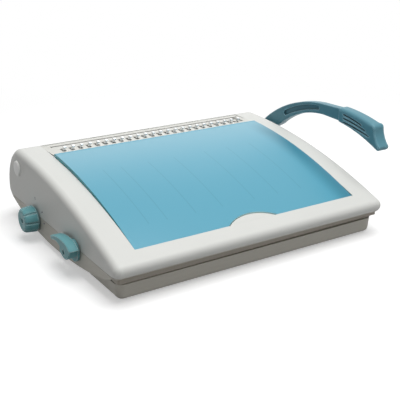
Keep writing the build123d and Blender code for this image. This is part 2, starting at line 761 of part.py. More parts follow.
def pivot_cap():
    """Cap pressed into the left cheek over the end of the shaft."""
    disc = shaft_bar(cap_radius, -casing_half_width - cap_thickness, -casing_half_width)
    disc = fillet(disc.edges().group_by(Axis.X)[0], cap_rounding)
    return disc + shaft_bar(cap_spigot_radius, -casing_half_width, -casing_half_width + cap_spigot_length)


def main_shaft():
    """Shaft with its two pinions and the square end for the handle."""
    shaft = shaft_bar(shaft_radius, -cheek_inner_x + shaft_end_gap, hub_x)
    outline = gear_outline(pinion_teeth, shaft_y, shaft_z)
    shaft += side_prism(outline, rack_inner_x, rack_outer_x)
    shaft += side_prism(outline, -rack_outer_x, -rack_inner_x)
    square = Pos(shaft_y, shaft_z) * Rectangle(square_side, square_side)
    shaft += side_prism(square, hub_x, square_end_x)
    return shaft - shaft_bar(handle_screw_radius, square_end_x - handle_screw_depth, square_end_x)


# ---------------------------------------------------------------- handle

def handle_arm():
    """Curved lever with its hub, a hollowed band on each face and a tongue for the grip."""
    root_top = (grip_front_y, arm_root_top_z)
    root_foot = (grip_front_y, arm_root_foot_z)
    edges = [ThreePointArc(arm_outer_start, arm_outer_middle, arm_outer_end),
             Line(arm_outer_end, root_top),
             Line(root_top, root_foot),
             Line(root_foot, arm_inner_end),
             ThreePointArc(arm_inner_end, arm_inner_middle, arm_inner_start),
             Line(arm_inner_start, arm_hub_tangent),
             Line(arm_hub_tangent, (shaft_y, shaft_z)),
             Line((shaft_y, shaft_z), arm_outer_start)]
    outline = make_face(Wire(edges)) + Pos(shaft_y, shaft_z) * Circle(hub_radius)
    arm = side_prism(outline, arm_inner_x, arm_outer_x)
    arm += shaft_bar(hub_step_radius, hub_x, arm_inner_x)
    arm += handle_tongue()
    square = Pos(shaft_y, shaft_z) * Rectangle(square_side, square_side)
    arm -= side_prism(square, hub_x - overcut, square_end_x)
    arm -= shaft_bar(handle_screw_radius, arm_inner_x, arm_outer_x + overcut)
    band = arm_band()
    arm -= side_prism(band, arm_inner_x - overcut, arm_inner_x + band_depth)
    return arm - side_prism(band, arm_outer_x - band_depth, arm_outer_x + overcut)


def height_on_arch(points, y):
    """Height at y of the arch through three points."""
    centre_y, centre_z, radius = circle_through(*points)
    return centre_z + sqrt(radius ** 2 - (y - centre_y) ** 2)


def bowed_end(start, end, bow):
    """Arc between two points whose middle is pushed aside."""
    middle = ((start[0] + end[0]) / 2 + bow[0], (start[1] + end[1]) / 2 + bow[1])
    return ThreePointArc(start, middle, end)


def arm_band():
    """Side view of the long hollow that follows the arm's curve."""
    outer = (arm_outer_start, arm_outer_middle, arm_outer_end)
    inner = (arm_inner_end, arm_inner_middle, arm_inner_start)
    upper = [(y, height_on_arch(outer, y) - depth) for y, depth in band_upper]
    lower = [(y, height_on_arch(inner, y) + height) for y, height in band_lower]
    return make_face(Wire([ThreePointArc(*upper),
                           bowed_end(upper[2], lower[0], band_front_bow),
                           ThreePointArc(*lower),
                           bowed_end(lower[2], upper[0], band_rear_bow)]))


def handle_tongue():
    """Tongue at the arm's end, inside the grip."""
    return block((arm_inner_x + tongue_side, arm_outer_x - tongue_side),
                 (grip_front_y - tongue_length, grip_front_y),
                 (arm_root_foot_z + tongue_foot_rise, arm_root_top_z - tongue_top_drop))


def handle_grip():
    """Soft-edged grip, moulded round the tongue, with a hollowed end and three grooves."""
    upper, hollow, lower = [[grip_point(step) for step in steps]
                            for steps in (grip_upper, grip_hollow, grip_lower)]
    edges = [ThreePointArc(*upper),
             ThreePointArc(upper[2], grip_point(grip_brow), hollow[0]),
             ThreePointArc(*hollow),
             ThreePointArc(hollow[2], grip_point(grip_heel), lower[0]),
             ThreePointArc(*lower),
             Line(lower[2], upper[0])]
    grip = side_prism(make_face(Wire(edges)), grip_inner_x, grip_outer_x)
    middle_x = (grip_inner_x + grip_outer_x) / 2
    rims = grip.edges().filter_by(lambda edge: abs(edge.center().X - middle_x) > 1)
    grip = fillet(rims.filter_by(lambda edge: edge.length > 2 * tongue_length), grip_rounding)
    for groove in grip_grooves:
        line = trace(ThreePointArc(*[grip_point(step) for step in groove]), line_width=grip_groove_width)
        grip -= side_prism(line, grip_inner_x - overcut, grip_inner_x + grip_groove_depth)
    return grip - handle_tongue()


def grip_point(step):
    """Place in side view of a step from the top of the arm's root."""
    return (grip_front_y + step[0], arm_root_top_z + step[1])


def handle_screw():
    """Screw that holds the hub on the shaft."""
    head = shaft_bar(handle_screw_head, arm_outer_x, arm_outer_x + handle_screw_head_height)
    return head + shaft_bar(handle_screw_radius, square_end_x - handle_screw_depth, arm_outer_x)


# ---------------------------------------------------------------- punch and hooks

def punch_bar():
    """Bar behind the throat with a rack at each end."""
    top_z = rack_pitch_z + rack_height
    bar = block((-rack_inner_x, rack_inner_x), (bar_front_y, bar_front_y + bar_thickness),
                (shaft_z + shaft_radius + bar_gap, top_z))
    for spans in ((rack_inner_x, rack_inner_x + rack_width), (-rack_inner_x - rack_width, -rack_inner_x)):
        bar += rack(spans, (rack_front_y, rack_rear_y), (rack_front_y, rack_rear_y), shaft_y,
                    rack_pitch_z, rack_height)
    return bar


def punch_pins():
    """Rectangular pins; at rest they reach through the throat to the die's front face."""
    tip_y = throat_front_y - die_thickness + seat_gap
    return Compound([block((x - pin_width / 2, x + pin_width / 2), (tip_y, bar_front_y),
                           (pin_z - pin_height / 2, pin_z + pin_height / 2)) for x in hook_positions])


def hook_bar():
    """Bar in front of the die plate, with a rack arm at each end."""
    bar = block((-rack_outer_x, rack_outer_x), (hook_bar_front_y, hook_stem_y),
                (hook_bottom_z, hook_bottom_z + hook_bar_height))
    for spans in ((rack_outer_x - rack_width, rack_outer_x), (-rack_outer_x, -rack_outer_x + rack_width)):
        bar += rack(spans, (hook_stem_y, rack_rear_y), (rack_front_y, rack_rear_y), shaft_y,
                    rack_pitch_z, rack_height)
    return bar


def comb_hooks():
    """Flat hooks that stand through the plate's slots; their fingers point to the front."""
    rear_y = hook_stem_y + hook_stem
    tip_y = hook_stem_y - hook_reach
    finger_z = hook_top_z - hook_finger
    outline = Polygon((hook_stem_y, hook_bottom_z), (rear_y, hook_bottom_z),
                      (rear_y, hook_top_z - hook_corner), (rear_y - hook_corner, hook_top_z),
                      (tip_y, hook_top_z), (tip_y, finger_z + hook_finger_lift),
                      (hook_stem_y, finger_z), align=None)
    return Compound([side_prism(outline, x - hook_thickness / 2, x + hook_thickness / 2)
                     for x in hook_positions])


# ---------------------------------------------------------------- knobs and slide

def margin_knob():
    """Scalloped dial with a base ring and a small blind hole in its face."""
    ring_x = knob_inner_x - knob_base
    outline = Circle(knob_radius)
    for index in range(knob_lobes):
        scallop = Pos(knob_radius + knob_lobe_offset, 0) * Circle(knob_lobe_radius)
        outline -= Rot(0, 0, 360 / knob_lobes * index) * scallop
    body = side_prism(Pos(knob_y, knob_z) * outline, knob_outer_x, ring_x)
    body = chamfer(body.edges().group_by(Axis.X)[0], knob_chamfer)
    body += x_cylinder(knob_radius - knob_base, knob_y, knob_z, ring_x, knob_inner_x)
    body -= x_cylinder(knob_hole_radius, knob_y, knob_z,
                       knob_outer_x - overcut, knob_outer_x + knob_hole_depth)
    return body - x_cylinder(spindle_radius, knob_y, knob_z,
                             knob_inner_x - spindle_bite, knob_inner_x + overcut)


def margin_spindle():
    """Spindle of the dial with its pinion."""
    spindle = x_cylinder(spindle_radius, knob_y, knob_z, knob_inner_x - spindle_bite, slide_inner_x)
    outline = gear_outline(pinion_teeth, knob_y, knob_z)
    return spindle + side_prism(outline, slide_outer_x, slide_inner_x - slide_plain - seat_gap)


def depth_slide():
    """Rack slide that the dial moves front to back."""
    toothed = (slide_outer_x, slide_inner_x - slide_plain)
    ends = (slide_front_y, slide_rear_y)
    first_tooth = slide_front_y + slide_tooth_start
    body = rack(toothed, ends, (first_tooth, first_tooth + slide_tooth_length), knob_y, slide_pitch_z,
                slide_height)
    return body + block((toothed[1], slide_inner_x), ends,
                        (slide_pitch_z + dedendum, slide_pitch_z + slide_height))


def wing_outline():
    """Side view of the winged selector."""
    tail, shoulder_arc, heel, keel, underside = [
        [(wing_y + y, wing_z + z) for y, z in steps]
        for steps in (wing_tail, wing_shoulder, wing_heel, wing_keel, wing_underside)]
    return make_face(Wire([ThreePointArc(*tail), ThreePointArc(*shoulder_arc), Line(shoulder_arc[2], heel[0]),
                           ThreePointArc(*heel), ThreePointArc(*keel), Line(keel[2], underside[0]),
                           ThreePointArc(*underside), Line(underside[2], tail[0])]))


def wing_lever():
    """Winged selector: round flange, hub and a thin arched tail."""
    flange_x = knob_inner_x - wing_base
    body = side_prism(wing_outline(), wing_outer_x, flange_x)
    body = chamfer(body.edges().group_by(Axis.X)[0], wing_chamfer)
    body += x_cylinder(wing_flange_radius, wing_y, wing_z, flange_x, knob_inner_x)
    body -= x_cylinder(knob_hole_radius, wing_y, wing_z,
                       wing_outer_x - overcut, wing_outer_x + knob_hole_depth)
    return body - x_cylinder(spindle_radius, wing_y, wing_z, knob_inner_x - wing_spindle_bite,
                             knob_inner_x + overcut)


def wing_spindle():
    """Spindle of the selector, with a collar inside the neck wall."""
    spindle = x_cylinder(spindle_radius, wing_y, wing_z, knob_inner_x - wing_spindle_bite,
                         -neck_inner_x + pan_wall)
    collar_x = -neck_inner_x + seat_gap
    return spindle + x_cylinder(spindle_radius + wing_collar, wing_y, wing_z, collar_x,
                                collar_x + wing_collar_thickness)


def chip_drawer():
    """Long open drawer for paper chips, with its front in the right cheek."""
    front_y = drawer_front_y + drawer_inset
    rear_y = drawer_rear_y - drawer_inset
    body = block((drawer_left_x, cheek_inner_x), (front_y, rear_y),
                 (drawer_bottom_z, drawer_top_z - drawer_inset))
    body -= block((drawer_left_x + drawer_wall, cheek_inner_x - drawer_wall),
                  (front_y + drawer_wall, rear_y - drawer_wall), (drawer_bottom_z + drawer_wall, sky))
    body += block((cheek_inner_x, casing_half_width), (drawer_front_y, drawer_rear_y),
                  (drawer_bottom_z, drawer_top_z))
    pull_top_z = drawer_top_z - pull_inset
    return body + block((casing_half_width, casing_half_width + pull_depth),
                        (drawer_front_y + pull_inset, drawer_rear_y - pull_inset),
                        (pull_top_z - pull_thickness, pull_top_z))


NODES = {
    "upper_casing": upper_casing,
    "lower_casing": lower_casing,
    "rubber_feet": rubber_feet,
    "case_screws": case_screws,
    "comb_tray": comb_tray,
    "lid": lid,
    "lid_hinge_pins": lid_hinge_pins,
    "comb_plate": comb_plate,
    "die_plate": die_plate,
    "guide_plate": guide_plate,
    "throat_spacers": throat_spacers,
    "side_frame_left": lambda: side_frame(-1),
    "side_frame_right": lambda: side_frame(1),
    "shaft_bushes": shaft_bushes,
    "pivot_cap": pivot_cap,
    "main_shaft": main_shaft,
    "handle_arm": handle_arm,
    "handle_grip": handle_grip,
    "handle_screw": handle_screw,
    "punch_bar": punch_bar,
    "punch_pins": punch_pins,
    "hook_bar": hook_bar,
    "comb_hooks": comb_hooks,
    "margin_knob": margin_knob,
    "margin_spindle": margin_spindle,
    "depth_slide": depth_slide,
    "wing_lever": wing_lever,
    "wing_spindle": wing_spindle,
    "chip_drawer": chip_drawer,
}

for node, build in NODES.items():
    export_step(build(), f"parts/{node}.step")
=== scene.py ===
"""Dresses the comb punch and binding machine: finishes, repeated small pieces, light, floor and camera."""

import math

import bmesh
import bpy
from mathutils import Matrix, Vector

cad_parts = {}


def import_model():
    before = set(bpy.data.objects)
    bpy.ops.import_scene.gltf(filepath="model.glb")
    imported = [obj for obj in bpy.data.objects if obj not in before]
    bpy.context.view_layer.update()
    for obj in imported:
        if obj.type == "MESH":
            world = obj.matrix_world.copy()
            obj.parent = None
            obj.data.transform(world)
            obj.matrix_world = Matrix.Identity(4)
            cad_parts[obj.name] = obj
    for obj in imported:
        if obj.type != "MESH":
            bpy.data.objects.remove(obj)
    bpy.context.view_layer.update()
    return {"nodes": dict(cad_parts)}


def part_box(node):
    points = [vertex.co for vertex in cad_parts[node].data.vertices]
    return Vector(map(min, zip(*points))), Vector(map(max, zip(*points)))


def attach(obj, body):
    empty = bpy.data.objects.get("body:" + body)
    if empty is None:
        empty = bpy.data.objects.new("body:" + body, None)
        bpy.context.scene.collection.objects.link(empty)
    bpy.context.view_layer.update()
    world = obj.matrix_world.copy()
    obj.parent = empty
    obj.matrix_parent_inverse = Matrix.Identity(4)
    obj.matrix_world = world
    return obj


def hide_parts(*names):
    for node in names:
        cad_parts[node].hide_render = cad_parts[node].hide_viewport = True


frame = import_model()

MM = 0.001

# ---------------------------------------------------------------- sizes, millimetres

SAME_PLACE = 0.001          # corners nearer than this are one
SHARP_EDGE = 0.01           # edge of pieces that are left sharp
CUT_PAST = 1.0              # a cutter starts this far outside the face that it cuts
EDGE_STEPS = 3              # mesh steps in a rounded edge
ROUND_STEPS = 48            # mesh steps round a turned piece

# Hooks: side shape along Y and Z
HOOK_PITCH = 14.2875        # 9/16 inch, the comb spacing
HOOK_COUNT = 24
HOOK_WIDTH = 4.0
HOOK_STEM = 3.0             # thickness of the upright
HOOK_BEND = 1.0             # outer corner of the bend, cut off
HOOK_INSIDE = 0.8           # inner corner of the bend, filled
HOOK_TIP = 0.6              # upper corner of the tip, cut off
HOOK_TONGUE = (2.6, 3.0)    # thickness of the tongue at its tip and at the bend
HOOK_EDGE = 0.7             # rounding of the stamped edges

PIN_WIDTH = 8.0
PIN_HOLLOW = 0.6            # depth of the hollow in the cutting end
PIN_EDGE = 0.15

# Dial: its side as distance inside the lobes' crest and height above the cheek,
# and its face as radius and depth below the outermost ring
DIAL_AXIS = (75.0, 33.5)    # Y, Z of the spindle
DIAL_LOBES = 8
DIAL_STEPS = 16             # mesh steps in each lobe
DIAL_RADIUS = 20.2
DIAL_BORE = 3.8
DIAL_BORE_DEPTH = 6.0
DIAL_CORE = 3.0             # flat disc that closes each end
DIAL_SIDE = ((2.5, 0.0), (2.5, 2.5), (0.0, 3.0), (0.0, 4.0), (0.4, 12.0), (1.2, 18.0), (2.0, 20.5), (3.2, 22.0))
DIAL_FACE = ((DIAL_RADIUS - 5.0, 0.2), (DIAL_RADIUS - 6.5, 0.0), (5.6, 0.5), (DIAL_BORE + 0.5, 0.6),
             (DIAL_BORE, 1.2), (DIAL_BORE, DIAL_BORE_DEPTH), (DIAL_CORE, DIAL_BORE_DEPTH))
LOBE_FROM = 2.6             # lobes start this high above the cheek
LOBE_REACH = 3.5            # and reach this far in from the crest
LOBE_FALL = 0.5             # a lobe falls this much towards its grooves
LOBE_GROOVE = 1.6           # depth of the grooves between the lobes
LOBE_GROOVE_SHARE = 0.25    # part of half a lobe that a groove takes
LOBE_GROOVE_CURVE = 0.8     # below 1, the groove has steep walls

# Printed marks on the left cheek, round the dial
CHEEK_X = -228.5            # outer face of the cheek
MARK_ANGLES = (92, 146, 177)
MARK_REACH = (30.0, 34.5)   # ends of a mark, from the dial's axis
MARK_HALF = 0.9             # half of a mark's width
MARK_FILM = (-0.05, 0.1)    # both faces of the ink, from the cheek's face

WING_AXIS = (-73.3, 37.0)   # Y, Z of the selector's spindle

# Finger grooves of the grip: places along each, as Y, Z
GRIP_GROOVES = (((-92.5, 168.8), (-114.5, 165.2), (-135.5, 159.8)),
                ((-92.5, 162.6), (-118.5, 158.9), (-144.5, 153.2)),
                ((-93.0, 156.6), (-123.0, 152.3), (-153.0, 146.1)))
GROOVE_WIDTH = 2.6
GROOVE_DEPTH = 2.6
GROOVE_END = 0.5            # share of the width that is left at a groove's ends
GROOVE_STEPS = 12
WEAR_GRID = 0.8             # mesh of the worn grip
WEAR_ROUNDS = 24            # rounds of smoothing that wear its corners
WEAR_SHARE = 0.5            # strength of each round

# Band under the front lip: half its length, its front and rear along Y, its corners and its heights
BAND_HALF = 223.5
BAND_FRONT, BAND_REAR = -190.5, -174.0
BAND_CORNER = 4.0
BAND_CORNER_STEPS = 6
BAND_HEIGHTS = (30.6, 37.4)
BAND_EDGE = 0.8

# Feet: outline as radius and height, with a ring groove in the sole
FOOT_RADIUS = 9.0
FOOT_SOLE = ((3.6, 0.0), (4.4, 0.7), (5.2, 0.0), (FOOT_RADIUS - 0.6, 0.0), (FOOT_RADIUS - 0.15, 0.15),
             (FOOT_RADIUS, 0.6))

# Screws: the dome of the head as shares of its radius and height
SCREW_RADIUS = 2.6
SCREW_HEAD = 2.4            # height of the head
SCREW_SHANK = 1.5           # radius of the shank
SCREW_DOME = ((0.55, 0.0), (0.85, 0.25), (1.0, 0.7), (1.0, 1.0))
SCREW_STEPS = 24
SCREW_AHEAD = 1.0           # the middle screws sit this far before the middle
RECESS_SPAN = 3.0           # cross recess, tip to tip
RECESS_NARROW = 0.28        # width of an arm of the cross, as a share of the span
RECESS_DEPTHS = (-0.4, 1.1)

# Faint ribs under the lid, seen through it: places along X, and their ends along Y
RIB_PLACES = (-146.0, -117.0, -71.0, -26.0, 30.0, 73.0, 117.0)
RIB_FRONT, RIB_REAR = -133.0, 5.0
RIB_WIDTH = 1.6

# Tray under the lid, seen through it: where painted shade over its right wall darkens the lid, along X and
# along Y from the hinge forward, and where a painted sheen turns the lid paler towards the hinge
WALL_NEAR = (150.0, 182.0)
WALL_AHEAD = (92.0, 20.0)
HINGE_NEAR = (-30.0, 90.0)

# ---------------------------------------------------------------- node helpers


def colour(hex_value):
    """Linear RGBA from an sRGB hex value."""
    channels = [int(hex_value[place:place + 2], 16) / 255 for place in (1, 3, 5)]
    return [c / 12.92 if c <= 0.04045 else ((c + 0.055) / 1.055) ** 2.4 for c in channels] + [1.0]


def add(tree, kind, inputs=None, **settings):
    """Adds a node; an input is given a value, or is linked where it is given a socket."""
    node = tree.nodes.new(kind)
    for name, value in settings.items():
        setattr(node, name, value)
    for name, value in (inputs or {}).items():
        if isinstance(value, bpy.types.NodeSocket):
            tree.links.new(value, node.inputs[name])
        else:
            node.inputs[name].default_value = value
    return node


def new_material(name):
    """Empty node material with its output node."""
    material = bpy.data.materials.new(name)
    material.use_nodes = True
    material.node_tree.nodes.clear()
    return material, material.node_tree, add(material.node_tree, "ShaderNodeOutputMaterial")


def tinted(tree, base, share, factor):
    """Colour that drifts between the base and a slightly darker one."""
    darker = [c * (1 - share) for c in colour(base)[:3]] + [1.0]
    return add(tree, "ShaderNodeMix", {"Factor": factor, "A": darker, "B": colour(base)},
               data_type="RGBA").outputs["Result"]


# ---------------------------------------------------------------- materials

PLASTIC_IOR = 1.5
CLOUD = 60.0                # mm; moulded colour is never quite even, and drifts over this distance
GLOSS_DRIFT = (-0.03, 0.04)     # how far a moulded skin's roughness drifts with the colour
GRAIN_STRENGTH = 0.35       # how strongly a moulded skin's grain turns the light
EDGE_RAYS = 6               # rays that feel for a rounded edge
EDGE_HIGHLIGHT_SHARE = 0.7          # how far the painted edge highlight takes the paler colour
EDGE_HIGHLIGHT_TURN = (0.99, 0.85)  # cosine of an edge's turn where the painted highlight starts and where it is full
GROOVE_RAYS = 8             # rays that feel how open a place is
GROOVE_OPEN = (0.35, 0.85)  # openness at which the painted shade is darkest and at which it ends
GROOVE_SHADE = 0.3          # what is left of the colour where the painted shade is darkest
SCRATCH_DEPTH = 0.05        # mm
SCRATCH_STRENGTH = 0.15     # how strongly a metal's scratches turn the light
SCRATCH_LONG = 0.05         # a scratch is twenty times as long as it is wide
SCRATCH_DRIFT = (-0.06, 0.08)   # how far a metal's roughness drifts between its scratches
LID_GLOSS = (0.26, 0.34)    # range of the satin lid's roughness
LID_GRAIN_STRENGTH = 0.12   # the satin skin is smoother than the housing's
LID_CLEAR = 0.12            # share of the light that goes on through the lid
WALL_SHARE = 0.75           # how strongly the painted shade over the tray's wall darkens the lid
RIB_SHARE = 0.22            # and how strongly the ribs do
SIDE_TURN = (0.5, 0.9)      # sideways part of the normal on the lid's cut sides
FRONT_TURN = (-0.6, -0.95)  # part of the normal along Y on its front edge, where the painted highlight lies


def painted_edge_highlight(tree, tint, rounded, pale):
    """The tint, with a painted highlight along its rounded edges."""
    flat = add(tree, "ShaderNodeNewGeometry").outputs["Normal"]
    turn = add(tree, "ShaderNodeVectorMath", {0: flat, 1: rounded}, operation="DOT_PRODUCT").outputs["Value"]
    edge = add(tree, "ShaderNodeMapRange", {"Value": turn, "From Min": EDGE_HIGHLIGHT_TURN[0], "From Max": EDGE_HIGHLIGHT_TURN[1],
                                            "To Max": EDGE_HIGHLIGHT_SHARE}).outputs["Result"]
    return add(tree, "ShaderNodeMix", {"Factor": edge, "A": tint, "B": colour(pale)},
               data_type="RGBA").outputs["Result"]


def painted_groove_shade(tree, tint, reach_mm):
    """The tint, darkened by painted shade in grooves and corners."""
    openness = add(tree, "ShaderNodeAmbientOcclusion", {"Distance": reach_mm * MM},
                   samples=GROOVE_RAYS).outputs["AO"]
    shade = add(tree, "ShaderNodeMapRange", {"Value": openness, "From Min": GROOVE_OPEN[0],
                                             "From Max": GROOVE_OPEN[1],
                                             "To Min": GROOVE_SHADE}).outputs["Result"]
    return add(tree, "ShaderNodeMix", {"Factor": 1.0, "A": tint, "B": shade}, data_type="RGBA",
               blend_type="MULTIPLY").outputs["Result"]


def moulded_plastic(name, base, roughness, grain_mm=0.7, grain_depth_mm=0.05, share=0.04, edge_mm=0.5,
                    pale=None, groove_shade_mm=0.0, specular=0.5):
    """Moulded or coated skin: faint cloudy tint, a grain that breaks up the highlight, and edges that are
    never quite sharp, so that they catch a thin line of light. Some pieces also get a painted highlight on their
    rounded edges and painted shade in their grooves. Real spark-eroded grain is near 0.1 mm, which is too fine
    to show, so it is drawn as
    coarse as grain_mm says."""
    material, tree, output = new_material(name)
    place = add(tree, "ShaderNodeTexCoord").outputs["Object"]
    cloud = add(tree, "ShaderNodeTexNoise", {"Vector": place, "Scale": 1 / (CLOUD * MM), "Detail": 2.0})
    grain = add(tree, "ShaderNodeTexNoise", {"Vector": place, "Scale": 1 / (grain_mm * MM), "Detail": 3.0})
    rounded = add(tree, "ShaderNodeBevel", {"Radius": edge_mm * MM}, samples=EDGE_RAYS)
    bump = add(tree, "ShaderNodeBump", {"Height": grain.outputs["Fac"], "Strength": GRAIN_STRENGTH,
                                        "Distance": grain_depth_mm * MM, "Normal": rounded.outputs["Normal"]})
    sheen = add(tree, "ShaderNodeMapRange", {"Value": cloud.outputs["Fac"], "To Min": roughness + GLOSS_DRIFT[0],
                                             "To Max": roughness + GLOSS_DRIFT[1]})
    tint = tinted(tree, base, share, cloud.outputs["Fac"])
    if pale:
        tint = painted_edge_highlight(tree, tint, rounded.outputs["Normal"], pale)
    if groove_shade_mm:
        tint = painted_groove_shade(tree, tint, groove_shade_mm)
    shader = add(tree, "ShaderNodeBsdfPrincipled", {"Base Color": tint, "Roughness": sheen.outputs["Result"],
                                                    "IOR": PLASTIC_IOR, "Specular IOR Level": specular,
                                                    "Normal": bump.outputs["Normal"]})
    tree.links.new(shader.outputs["BSDF"], output.inputs["Surface"])
    return material


def metal(name, base, roughness, brush_mm, along):
    """Metal whose fine scratches run along one axis and stretch its highlight. Real scratches are some
    hundredths of a millimetre apart, so they are drawn as coarse as brush_mm says."""
    material, tree, output = new_material(name)
    place = add(tree, "ShaderNodeTexCoord").outputs["Object"]
    stretch = [1 / (brush_mm * MM) * (SCRATCH_LONG if axis == along else 1.0) for axis in "XYZ"]
    lines = add(tree, "ShaderNodeMapping", {"Vector": place, "Scale": stretch})
    scratch = add(tree, "ShaderNodeTexNoise", {"Vector": lines.outputs["Vector"], "Scale": 1.0, "Detail": 2.0})
    sheen = add(tree, "ShaderNodeMapRange", {"Value": scratch.outputs["Fac"],
                                             "To Min": roughness + SCRATCH_DRIFT[0],
                                             "To Max": roughness + SCRATCH_DRIFT[1]})
    bump = add(tree, "ShaderNodeBump", {"Height": scratch.outputs["Fac"], "Strength": SCRATCH_STRENGTH,
                                        "Distance": SCRATCH_DEPTH * MM})
    shader = add(tree, "ShaderNodeBsdfPrincipled",
                 {"Base Color": colour(base), "Metallic": 1.0, "Roughness": sheen.outputs["Result"],
                  "Normal": bump.outputs["Normal"]})
    tree.links.new(shader.outputs["BSDF"], output.inputs["Surface"])
    return material


def rib_shade(tree, axes):
    """1 on the thin ribs under the lid and 0 between them."""
    total = None
    for x in RIB_PLACES:
        on_rib = add(tree, "ShaderNodeMath", {0: axes["X"], 1: x * MM, 2: RIB_WIDTH / 2 * MM},
                     operation="COMPARE").outputs[0]
        total = on_rib if total is None else add(tree, "ShaderNodeMath", {0: total, 1: on_rib}).outputs[0]
    middle, half = (RIB_FRONT + RIB_REAR) / 2, (RIB_REAR - RIB_FRONT) / 2
    span = add(tree, "ShaderNodeMath", {0: axes["Y"], 1: middle * MM, 2: half * MM}, operation="COMPARE")
    return add(tree, "ShaderNodeMath", {0: total, 1: span.outputs[0]}, operation="MULTIPLY").outputs[0]


def seen_through(tree, place, base, pale, deep):
    """The lid's colour with what lies under it: a painted sheen pales it towards the hinge, painted shade
    deepens it over the tray's right wall, and it is a little deeper on the ribs."""
    axes = add(tree, "ShaderNodeSeparateXYZ", {"Vector": place}).outputs
    wall, ahead, hinge = [
        add(tree, "ShaderNodeMapRange", {"Value": axes[axis], "From Min": start * MM, "From Max": end * MM},
            interpolation_type="SMOOTHSTEP").outputs["Result"]
        for axis, (start, end) in (("X", WALL_NEAR), ("Y", WALL_AHEAD), ("Y", HINGE_NEAR))]
    dark = add(tree, "ShaderNodeMath", {0: wall, 1: ahead}, operation="MULTIPLY").outputs[0]
    dark = add(tree, "ShaderNodeMath", {0: dark, 1: WALL_SHARE}, operation="MULTIPLY").outputs[0]
    ribs = add(tree, "ShaderNodeMath", {0: rib_shade(tree, axes), 1: RIB_SHARE}, operation="MULTIPLY").outputs[0]
    shade = add(tree, "ShaderNodeMath", {0: dark, 1: ribs}, use_clamp=True).outputs[0]
    sheened_tint = add(tree, "ShaderNodeMix", {"Factor": hinge, "A": colour(base), "B": colour(pale)},
               data_type="RGBA").outputs["Result"]
    return add(tree, "ShaderNodeMix", {"Factor": shade, "A": sheened_tint, "B": colour(deep)},
               data_type="RGBA").outputs["Result"]


def lit_edges(tree, normal, tint, side_tint, front_highlight):
    """The tint, deeper teal on the sheet's cut sides, partly its thickness and partly painted shade, and with
    a painted highlight along its front edge.
    """
    faces = add(tree, "ShaderNodeSeparateXYZ", {"Vector": normal}).outputs
    across = add(tree, "ShaderNodeMath", {0: faces["X"]}, operation="ABSOLUTE").outputs[0]
    side = add(tree, "ShaderNodeMapRange", {"Value": across, "From Min": SIDE_TURN[0],
                                            "From Max": SIDE_TURN[1]}).outputs["Result"]
    tint = add(tree, "ShaderNodeMix", {"Factor": side, "A": tint, "B": colour(side_tint)},
               data_type="RGBA").outputs["Result"]
    front = add(tree, "ShaderNodeMapRange", {"Value": faces["Y"], "From Min": FRONT_TURN[0],
                                             "From Max": FRONT_TURN[1]}).outputs["Result"]
    return add(tree, "ShaderNodeMix", {"Factor": front, "A": tint, "B": colour(front_highlight)},
               data_type="RGBA").outputs["Result"]


def tinted_lid(name, base, pale, deep, side, front, grain_mm=0.8, grain_depth_mm=0.05, edge_mm=0.8):
    """Tinted moulded sheet with a satin skin, whose grain is drawn as coarse as grain_mm says."""
    material, tree, output = new_material(name)
    places = add(tree, "ShaderNodeTexCoord").outputs
    grain = add(tree, "ShaderNodeTexNoise", {"Vector": places["Object"], "Scale": 1 / (grain_mm * MM),
                                             "Detail": 2.0})
    rounded = add(tree, "ShaderNodeBevel", {"Radius": edge_mm * MM}, samples=EDGE_RAYS)
    bump = add(tree, "ShaderNodeBump", {"Height": grain.outputs["Fac"], "Strength": LID_GRAIN_STRENGTH,
                                        "Distance": grain_depth_mm * MM, "Normal": rounded.outputs["Normal"]})
    sheen = add(tree, "ShaderNodeMapRange", {"Value": grain.outputs["Fac"], "To Min": LID_GLOSS[0],
                                             "To Max": LID_GLOSS[1]})
    tint = seen_through(tree, places["Object"], base, pale, deep)
    tint = lit_edges(tree, places["Normal"], tint, side, front)
    shader = add(tree, "ShaderNodeBsdfPrincipled",
                 {"Base Color": tint, "Roughness": sheen.outputs["Result"], "IOR": PLASTIC_IOR,
                  "Transmission Weight": LID_CLEAR, "Normal": bump.outputs["Normal"]})
    tree.links.new(shader.outputs["BSDF"], output.inputs["Surface"])
    return material


# ABS housing from a spark-eroded mould: the grain spreads the light, so its pale grey has no sharp highlight
CASING = moulded_plastic("abs_casing_light_grey", "#dcddd9", 0.5)
# The same ABS for the base, a step warmer and duller, so that it sits back under the housing
BASE = moulded_plastic("abs_base_light_grey", "#c3c0b6", 0.52)
# Moulded ABS trim, the warmest grey of the three, darkened further as painted shade under the lip
BAND = moulded_plastic("abs_band_warm_grey", "#9d968b", 0.52)
# White ABS from the same kind of mould, which stays bright under the tinted lid
TRAY = moulded_plastic("abs_tray_white", "#e4e5e2", 0.5)
# Polycarbonate, tinted in the mass and moulded satin: aqua that holds its colour, with a broad soft gloss
# Its paler rear is a painted sheen, its dark band over the tray's wall is painted shade, and its front edge has a
# painted highlight
LID = tinted_lid("polycarbonate_lid_aqua", "#5caec7", "#6ab3ca", "#2b7f98", "#27a0ac", "#c2e8e8")
# ABS from a smoother mould: the cap is whiter and a little glossier than the cheek around it
CAP = moulded_plastic("abs_cap_white", "#f2f3f0", 0.4, grain_depth_mm=0.04)
# ABS coloured in the mass, semi-gloss: muted teal, painted highlight on its wide round edges, painted shade in
# its hollow
TEAL = moulded_plastic("abs_handle_teal", "#548897", 0.36, grain_mm=0.6, grain_depth_mm=0.04, edge_mm=3.0,
                       pale="#a6d6e4", groove_shade_mm=4.0, specular=0.3)
# The same ABS where the hand holds it: worn rounder, with a wider painted edge highlight, painted shade in its
# grooves and a duller gloss
GRIP = moulded_plastic("abs_grip_teal", "#5a8f9e", 0.38, grain_mm=0.6, grain_depth_mm=0.04, edge_mm=5.5,
                       pale="#b8eafa", groove_shade_mm=4.0, specular=0.3)
